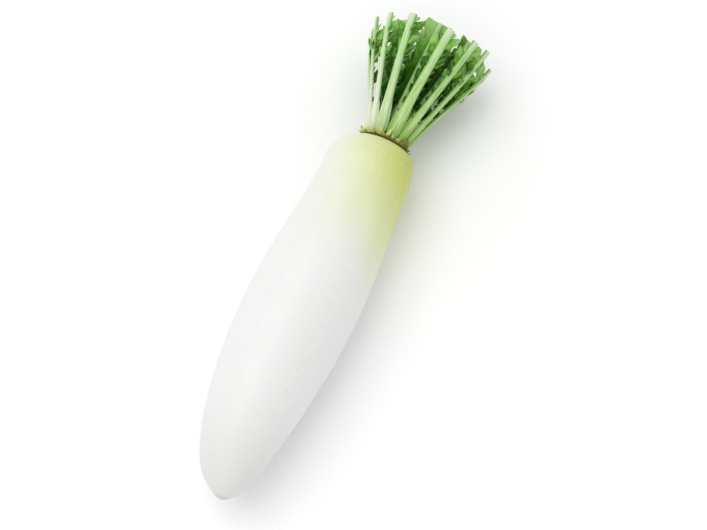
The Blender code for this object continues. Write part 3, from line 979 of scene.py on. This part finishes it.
def add_hairs(piece, stalk, source):
    """Sparse short bristles on the stalk's outer face."""
    for _ in range(HAIRS_PER_STALK):
        share = source.uniform(*HAIR_PLACES)
        centre, along, out, side = stalk_frame(stalk, share)
        width, thick = stalk_size(stalk, share)
        angle = source.uniform(-HAIR_SPREAD, HAIR_SPREAD)
        normal = (out * cos(angle) * width + side * sin(angle) * thick).normalized()
        foot = centre + out * thick * cos(angle) + side * width * sin(angle)
        tip = foot + (normal + along * source.uniform(*HAIR_LEANS)) * source.uniform(*HAIR_LENGTHS)
        sideways = normal.cross(along).normalized() * HAIR_RADIUS
        base = foot - normal * HAIR_RADIUS
        points = [tuple(base + sideways * x + along * HAIR_RADIUS * y) for x, y in HAIR_CORNERS]
        points.append(tuple(tip))
        faces = ((0, 2, 1), (0, 1, 3), (1, 2, 3), (2, 0, 3))
        place = (thick * cos(angle), width * sin(angle), stalk.length * share)
        piece.add(points, faces, SKIN, place, (share, 0.0, stalk_shade(stalk)))


def make_stalk(stalk, materials):
    """One cut leaf stalk with all that grows on it."""
    piece = Piece(stalk.name.replace("leaf_stalk", "stalk"))
    add_stem(piece, stalk)
    add_cut(piece, stalk)
    if stalk.ring is OUTER:
        add_leaflets(piece, stalk)
    else:
        for hand in (-1, 1):
            add_wing(piece, stalk, hand)
    for hand in (-1, 1):
        add_margin(piece, stalk, hand)
    source = random.Random(stalk.name)
    for fill in FILLS:
        add_fill(piece, stalk, fill, source)
    add_hairs(piece, stalk, source)
    piece.make(materials, stalk.name)


# Materials


# Most of a noise pattern's values lie within this
NOISE_RANGE = (0.3, 0.7)
# Light that goes in under the skin: its share, its depth, and how much of that depth
# red, green and blue reach
Glow = namedtuple("Glow", "share depth colour")
NO_GLOW = Glow(0.0, 0.0, (1.0, 1.0, 1.0))


class Graph:
    """A material's nodes, added one at a time."""

    def __init__(self, name):
        self.material = bpy.data.materials.new(name)
        self.material.use_nodes = True
        self.tree = self.material.node_tree
        self.shader = self.tree.nodes["Principled BSDF"]
        self.colour = None

    def put(self, socket, value):
        """Gives a socket another one's value, a number or a colour of three numbers."""
        if isinstance(value, bpy.types.NodeSocket):
            self.tree.links.new(value, socket)
        else:
            socket.default_value = (*value, 1.0) if socket.type == "RGBA" else value

    def node(self, kind, inputs, **settings):
        node = self.tree.nodes.new("ShaderNode" + kind)
        for name, value in settings.items():
            setattr(node, name, value)
        for key, value in inputs.items():
            self.put(node.inputs[key], value)
        return node

    def attribute(self, name):
        """A point attribute, and each of its three numbers."""
        source = self.node("Attribute", {}, attribute_name=name)
        parts = self.node("SeparateXYZ", {0: source.outputs["Vector"]})
        return source.outputs["Vector"], *parts.outputs

    def math(self, operation, a, b=0.0):
        return self.node("Math", {0: a, 1: b}, operation=operation).outputs[0]

    def plus(self, a, b):
        return self.math("ADD", a, b)

    def minus(self, a, b):
        return self.math("SUBTRACT", a, b)

    def times(self, a, b):
        return self.math("MULTIPLY", a, b)

    def varied(self, level, pattern, amount, middle=0.5):
        """level, raised where a pattern is above its middle and lowered where it is below."""
        return self.plus(level, self.times(self.minus(pattern, middle), amount))

    def range(self, value, start, end, most=1.0, least=0.0):
        """Runs smoothly from least to most while value goes from start to end."""
        inputs = {"Value": value, "From Min": start, "From Max": end, "To Min": least, "To Max": most}
        return self.node("MapRange", inputs, interpolation_type="SMOOTHSTEP").outputs["Result"]

    def uneven(self, pattern, low, high):
        """Runs from low to high over the values that most of a noise pattern has."""
        return self.range(pattern, *NOISE_RANGE, high, low)

    def scaled(self, vector, along, across=1.0):
        """A place on the straightened piece, scaled along and across it."""
        scale = (across, across, along)
        return self.node("VectorMath", {0: vector, 1: scale}, operation="MULTIPLY").outputs[0]

    def noise(self, vector, scale, detail=3.0, roughness=0.55):
        inputs = {"Vector": vector, "Scale": scale, "Detail": detail, "Roughness": roughness}
        return self.node("TexNoise", inputs).outputs["Fac"]

    def voronoi(self, vector, scale, feature="F1"):
        inputs = {"Vector": vector, "Scale": scale}
        return self.node("TexVoronoi", inputs, feature=feature).outputs["Distance"]

    def mix(self, share, a, b):
        """Colour a, or colour b where share is 1."""
        return self.node("Mix", {0: share, 6: a, 7: b}, data_type="RGBA").outputs[2]

    def layer(self, share, colour):
        """Lays a colour over what the material has so far."""
        self.colour = self.mix(share, self.colour, colour)

    def ramp(self, value, *stops):
        """Starts the material's colour as one read from (place, colour) stops."""
        node = self.node("ValToRGB", {0: value})
        elements = node.color_ramp.elements
        while len(elements) < len(stops):
            elements.new(1.0)
        for element, (place, colour) in zip(elements, stops):
            element.position = place
            element.color = (*colour, 1.0)
        self.colour = node.outputs["Color"]

    def bump(self, height, distance, strength=1.0):
        inputs = {"Height": height, "Distance": distance, "Strength": strength}
        return self.node("Bump", inputs).outputs["Normal"]

    def finish(self, roughness, normal, shine=0.5, glow=NO_GLOW):
        """The material, with its colour and these values on its shader."""
        names = ("Base Color", "Roughness", "Normal", "Specular IOR Level")
        names += ("Subsurface Weight", "Subsurface Scale", "Subsurface Radius")
        for name, value in zip(names, (self.colour, roughness, normal, shine, *glow)):
            self.put(self.shader.inputs[name], value)
        return self.material


# Two opposite lines of slits down the root, where side roots grew
SCAR_LINES = (0.6, 0.6 - pi)
SCAR_PLACE = 0.45
SCAR_WANDER = 0.9
SCARS_PER_ROOT = 21.0
SCAR_WIDTH = 0.085
SCAR_HEIGHT = 0.045


def root_scars(g, share, angle):
    """1 on the slits and 0 off them, fading out towards the shoulder."""
    total = 0.0
    for line in SCAR_LINES:
        wander = g.noise(g.node("CombineXYZ", {0: share, 1: line}).outputs[0], 9.0)
        off = g.minus(angle, g.plus(g.times(wander, SCAR_WANDER), line - SCAR_PLACE))
        inputs = {"W": g.plus(share, line), "Scale": SCARS_PER_ROOT}
        spot = g.node("TexVoronoi", inputs, voronoi_dimensions="1D").outputs["Distance"]
        width = g.math("POWER", g.math("DIVIDE", off, SCAR_WIDTH), 2.0)
        height = g.math("POWER", g.math("DIVIDE", spot, SCAR_HEIGHT), 2.0)
        total = g.math("MAXIMUM", g.range(g.plus(width, height), 1.0, 0.2), total)
    return g.times(total, g.range(share, 0.22, 0.45))


def root_material():
    g = Graph("root_skin")
    grown, x, y, _ = g.attribute("grown")
    _, green, share, radius = g.attribute("tone")
    mottle = g.noise(g.scaled(grown, 0.55), 42.0, 4.0, 0.6)
    g.ramp(
        g.varied(green, mottle, 0.16),
        (0.0, (0.79, 0.79, 0.785)),
        (0.12, (0.77, 0.78, 0.69)),
        (0.35, (0.69, 0.735, 0.43)),
        (0.65, (0.55, 0.61, 0.15)),
        (1.0, (0.4, 0.455, 0.045)),
    )
    streaks = g.noise(g.scaled(grown, 0.06), 620.0, 2.0)
    g.layer(g.range(streaks, 0.35, 0.75, 0.1), (0.93, 0.93, 0.87))
    rings = g.noise(g.scaled(grown, 1.0, 0.16), 330.0, 3.0)
    g.layer(g.range(rings, 0.6, 0.8, 0.1), (0.62, 0.6, 0.5))
    scars = root_scars(g, share, g.math("ARCTAN2", y, x))
    g.layer(g.times(scars, 0.14), (0.5, 0.44, 0.3))
    frayed = g.noise(g.scaled(grown, 0.4), 520.0, 3.0, 0.7)
    rim = g.varied(radius, frayed, 0.16)
    near_seat = g.range(share, 0.04, 0.02)
    tinged = g.times(g.range(rim, 0.64, 0.52, 0.55), near_seat)
    g.layer(tinged, (0.36, 0.4, 0.085))
    torn = g.times(g.range(rim, 0.555, 0.525), near_seat)
    g.layer(torn, g.mix(frayed, (0.17, 0.12, 0.03), (0.1, 0.12, 0.02)))
    # Painted shade: the skin greys towards the tip
    g.layer(g.range(share, 0.72, 0.95, 0.45), (0.66, 0.65, 0.63))
    tail = g.times(g.range(share, 0.985, 1.0), g.uneven(mottle, 0.3, 0.9))
    g.layer(tail, (0.6, 0.53, 0.38))
    pores = g.noise(grown, 900.0, 2.0)
    height = g.plus(g.times(rings, 0.6), g.times(streaks, 0.25))
    height = g.plus(height, g.times(pores, 0.12))
    height = g.minus(height, g.times(scars, 0.6))
    rough = g.uneven(g.noise(grown, 60.0), 0.34, 0.5)
    glow = Glow(0.16, 0.004, (1.0, 0.95, 0.7))
    return g.finish(rough, g.bump(height, 0.00022, 0.7), 0.42, glow)


def dome_material():
    g = Graph("crown_flesh")
    grown = g.attribute("grown")[0]
    _, place, rough, _ = g.attribute("tone")
    blotch = g.noise(grown, 420.0, 4.0)
    g.ramp(
        g.varied(place, blotch, 0.5),
        (0.0, (0.28, 0.36, 0.11)),
        (0.55, (0.19, 0.25, 0.05)),
        (0.86, (0.12, 0.14, 0.025)),
        (1.0, (0.07, 0.07, 0.015)),
    )
    g.layer(g.range(g.voronoi(grown, 700.0), 0.25, 0.05, 0.5), (0.42, 0.36, 0.16))
    height = g.plus(blotch, g.times(rough, 0.4))
    return g.finish(g.uneven(blotch, 0.6, 0.85), g.bump(height, 0.0006))


def scale_material():
    g = Graph("dry_scale")
    grown = g.attribute("grown")[0]
    _, up, edge, shade = g.attribute("tone")
    fibre = g.noise(g.scaled(grown, 0.08), 2600.0, 3.0)
    g.ramp(
        g.varied(up, fibre, 0.6),
        (0.0, (0.07, 0.095, 0.008)),
        (0.2, (0.19, 0.235, 0.026)),
        (0.42, (0.54, 0.59, 0.13)),
        (1.0, (0.8, 0.81, 0.4)),
    )
    g.layer(g.range(shade, 0.62, 0.38, 0.8), (0.105, 0.12, 0.008))
    g.layer(g.range(edge, 0.7, 1.0, 0.5), (0.24, 0.22, 0.05))
    return g.finish(g.uneven(fibre, 0.6, 0.9), g.bump(fibre, 0.0003), 0.12)


def stalk_material():
    g = Graph("stalk_skin")
    grown = g.attribute("grown")[0]
    _, share, inner, shade = g.attribute("tone")
    streak = g.noise(g.scaled(grown, 0.03), 1900.0, 3.0)
    cloud = g.noise(g.scaled(grown, 0.4), 130.0, 3.0)
    g.ramp(
        g.varied(share, cloud, 0.22),
        (0.0, (0.21, 0.34, 0.045)),
        (0.07, (0.3, 0.48, 0.08)),
        (0.22, (0.455, 0.665, 0.23)),
        (0.5, (0.39, 0.64, 0.21)),
        (0.84, (0.42, 0.66, 0.24)),
        (1.0, (0.62, 0.76, 0.5)),
    )
    # Painted shade on the bunch's right: outer stalks there get a darker, greener tint and weaker
    # painted highlights
    painted_right_shade = g.range(shade, 0.0, PAINTED_RIGHT_SHADE)
    highlight_kept = g.minus(1.0, g.times(painted_right_shade, 0.2))
    # Pale streaks along the stalk: partly its own colour, partly painted highlight
    pale = g.times(g.range(streak, 0.5, 0.7, 0.75), highlight_kept)
    g.layer(g.times(painted_right_shade, 0.22), (0.33, 0.58, 0.09))
    g.layer(pale, (0.8, 0.9, 0.76))
    g.layer(g.range(streak, 0.48, 0.3, 0.65), (0.14, 0.33, 0.02))
    # Painted shade on the stalk's sides and inner face
    g.layer(g.range(inner, 0.05, 0.46, 0.85), (0.11, 0.29, 0.015))
    # Painted light: outer stalks on the bunch's left are paler
    painted_light_left = g.times(g.range(shade, 0.0, -1.0), g.range(share, 0.95, 0.1, 0.8, 0.15))
    g.layer(painted_light_left, (0.81, 0.84, 0.69))
    # Painted shade on the stalks of the inner rings, and a little on outer ones on the bunch's right
    inside = g.times(g.math("MAXIMUM", shade, 0.0), g.range(share, 0.02, 0.25))
    g.layer(inside, (0.055, 0.19, 0.01))
    flecks = g.range(g.voronoi(g.scaled(grown, 0.5), 900.0), 0.1, 0.03, 0.5)
    g.layer(flecks, (0.1, 0.2, 0.03))
    height = g.plus(streak, g.times(cloud, 0.3))
    glow = Glow(0.08, 0.0015, (0.7, 1.0, 0.35))
    return g.finish(g.uneven(cloud, 0.36, 0.55), g.bump(height, 0.00022), 0.32, glow)


def blade_material():
    g = Graph("leaf_blade")
    grown, across, _, along = g.attribute("grown")
    _, height, edge, shade = g.attribute("tone")
    side = g.math("ABSOLUTE", across)
    run = g.minus(along, g.times(side, VEIN_SLANT))
    wave = g.math("ABSOLUTE", g.math("SINE", g.times(run, pi / VEIN_SPACING)))
    veins = g.range(wave, 0.24, 0.04)
    net = g.range(g.voronoi(grown, 1100.0, "DISTANCE_TO_EDGE"), 0.1, 0.02)
    rib = g.range(side, 0.0006, 0.0002)
    lines = g.math("MAXIMUM", g.math("MAXIMUM", veins, rib), g.times(net, 0.45))
    patch = g.noise(grown, 190.0, 3.0)
    own = g.math("FRACT", g.times(shade, 3.7))
    # Painted shade and painted light: blades are near black low in the bunch and bright green by the
    # cut
    g.ramp(
        g.varied(g.varied(height, patch, 0.34), own, 0.36, 0.6),
        (0.3, (0.008, 0.08, 0.001)),
        (0.66, (0.02, 0.132, 0.002)),
        (0.78, (0.062, 0.26, 0.008)),
        (0.87, (0.17, 0.49, 0.04)),
        (1.0, (0.38, 0.68, 0.2)),
    )
    bright = g.range(height, 0.45, 0.85, 0.45, 0.1)
    g.layer(g.times(lines, bright), (0.42, 0.62, 0.24))
    rim = g.times(g.range(edge, 0.86, 1.0), g.range(height, 0.55, 0.9, 0.45, 0.05))
    g.layer(rim, (0.46, 0.55, 0.17))
    relief = g.plus(g.times(lines, 0.7), g.times(patch, 0.5))
    glow = Glow(0.06, 0.0006, (0.4, 1.0, 0.1))
    return g.finish(g.uneven(patch, 0.5, 0.7), g.bump(relief, 0.00028), 0.04, glow)


def cut_material():
    g = Graph("cut_face")
    grown = g.attribute("grown")[0]
    _, _, inset, _ = g.attribute("tone")
    dots = g.range(g.voronoi(g.scaled(grown, 0.0), 950.0), 0.42, 0.15)
    belt = g.times(g.range(inset, 0.35, 0.6, 0.6), g.range(inset, 0.95, 0.8))
    grain = g.noise(grown, 2600.0, 3.0)
    g.ramp(
        inset,
        (0.0, (0.6, 0.66, 0.42)),
        (0.7, (0.52, 0.6, 0.33)),
        (0.9, (0.34, 0.48, 0.17)),
        (1.0, (0.24, 0.4, 0.1)),
    )
    g.layer(g.times(dots, belt), (0.2, 0.34, 0.09))
    g.layer(g.range(grain, 0.5, 0.75, 0.3), (0.8, 0.84, 0.66))
    return g.finish(g.uneven(grain, 0.22, 0.45), g.bump(grain, 0.00018))


def floor_material():
    g = Graph("floor_white")
    place = g.node("TexCoord", {}).outputs["Object"]
    tint = g.noise(place, 3.0, 2.0)
    g.colour = g.mix(tint, (0.93, 0.93, 0.93), (0.95, 0.95, 0.95))
    return g.finish(0.9, g.bump(tint, 0.0001), 0.1)


# Stage


def make_floor():
    half = FLOOR_SIZE / 2
    corners = [(-half, -half, 0), (half, -half, 0), (half, half, 0), (-half, half, 0)]
    mesh = bpy.data.meshes.new("floor")
    mesh.from_pydata(corners, [], [(0, 1, 2, 3)])
    mesh.materials.append(floor_material())
    floor = add_object("floor", mesh)


def view_axes(azimuth, elevation):
    """The right, up and backward directions of a camera, or of a light."""
    level = cos(elevation)
    back = Vector((sin(azimuth) * level, -cos(azimuth) * level, sin(elevation)))
    right = Vector((cos(azimuth), sin(azimuth), 0.0))
    return right, back.cross(right), back


def make_camera():
    data = bpy.data.cameras.new("camera")
    data.sensor_width = SENSOR_WIDTH
    data.lens = FOCAL_PIXELS * SENSOR_WIDTH / PHOTO_WIDTH
    data.clip_start = CAMERA_NEAR
    camera = add_object("camera", data)
    right, up, back = view_axes(CAMERA_AZIMUTH, CAMERA_ELEVATION)
    place = CAMERA_AIM + right * CAMERA_RIGHT + up * CAMERA_UP + back * CAMERA_DISTANCE
    turn = Matrix((right, up, back)).transposed().to_4x4()
    camera.matrix_world = Matrix.Translation(place) @ turn
    bpy.context.scene.camera = camera


def make_key():
    """A large soft light, above and to the left of the photograph's camera."""
    lamp = bpy.data.lights.new("key", "AREA")
    lamp.shape = "DISK"
    lamp.size = KEY_SIZE
    lamp.energy = KEY_POWER
    key = add_object("key", lamp)
    _, _, towards = view_axes(CAMERA_AZIMUTH + KEY_TURN, KEY_ELEVATION)
    key.location = CAMERA_AIM + towards * KEY_DISTANCE
    key.rotation_euler = towards.to_track_quat("Z", "Y").to_euler()


def make_sky():
    world = bpy.data.worlds.new("studio")
    world.use_nodes = True
    shade = world.node_tree.nodes["Background"]
    shade.inputs["Color"].default_value = (1.0, 1.0, 1.0, 1.0)
    shade.inputs["Strength"].default_value = SKY_STRENGTH
    bpy.context.scene.world = world


def main():
    make_root([root_material()])
    make_crown([dome_material(), scale_material()])
    leaf = [stalk_material(), blade_material(), cut_material()]
    for stalk in grow_stalks():
        make_stalk(stalk, leaf)
    make_floor()
    make_camera()
    make_key()
    make_sky()
    bpy.context.scene.view_settings.view_transform = "Standard"


main()
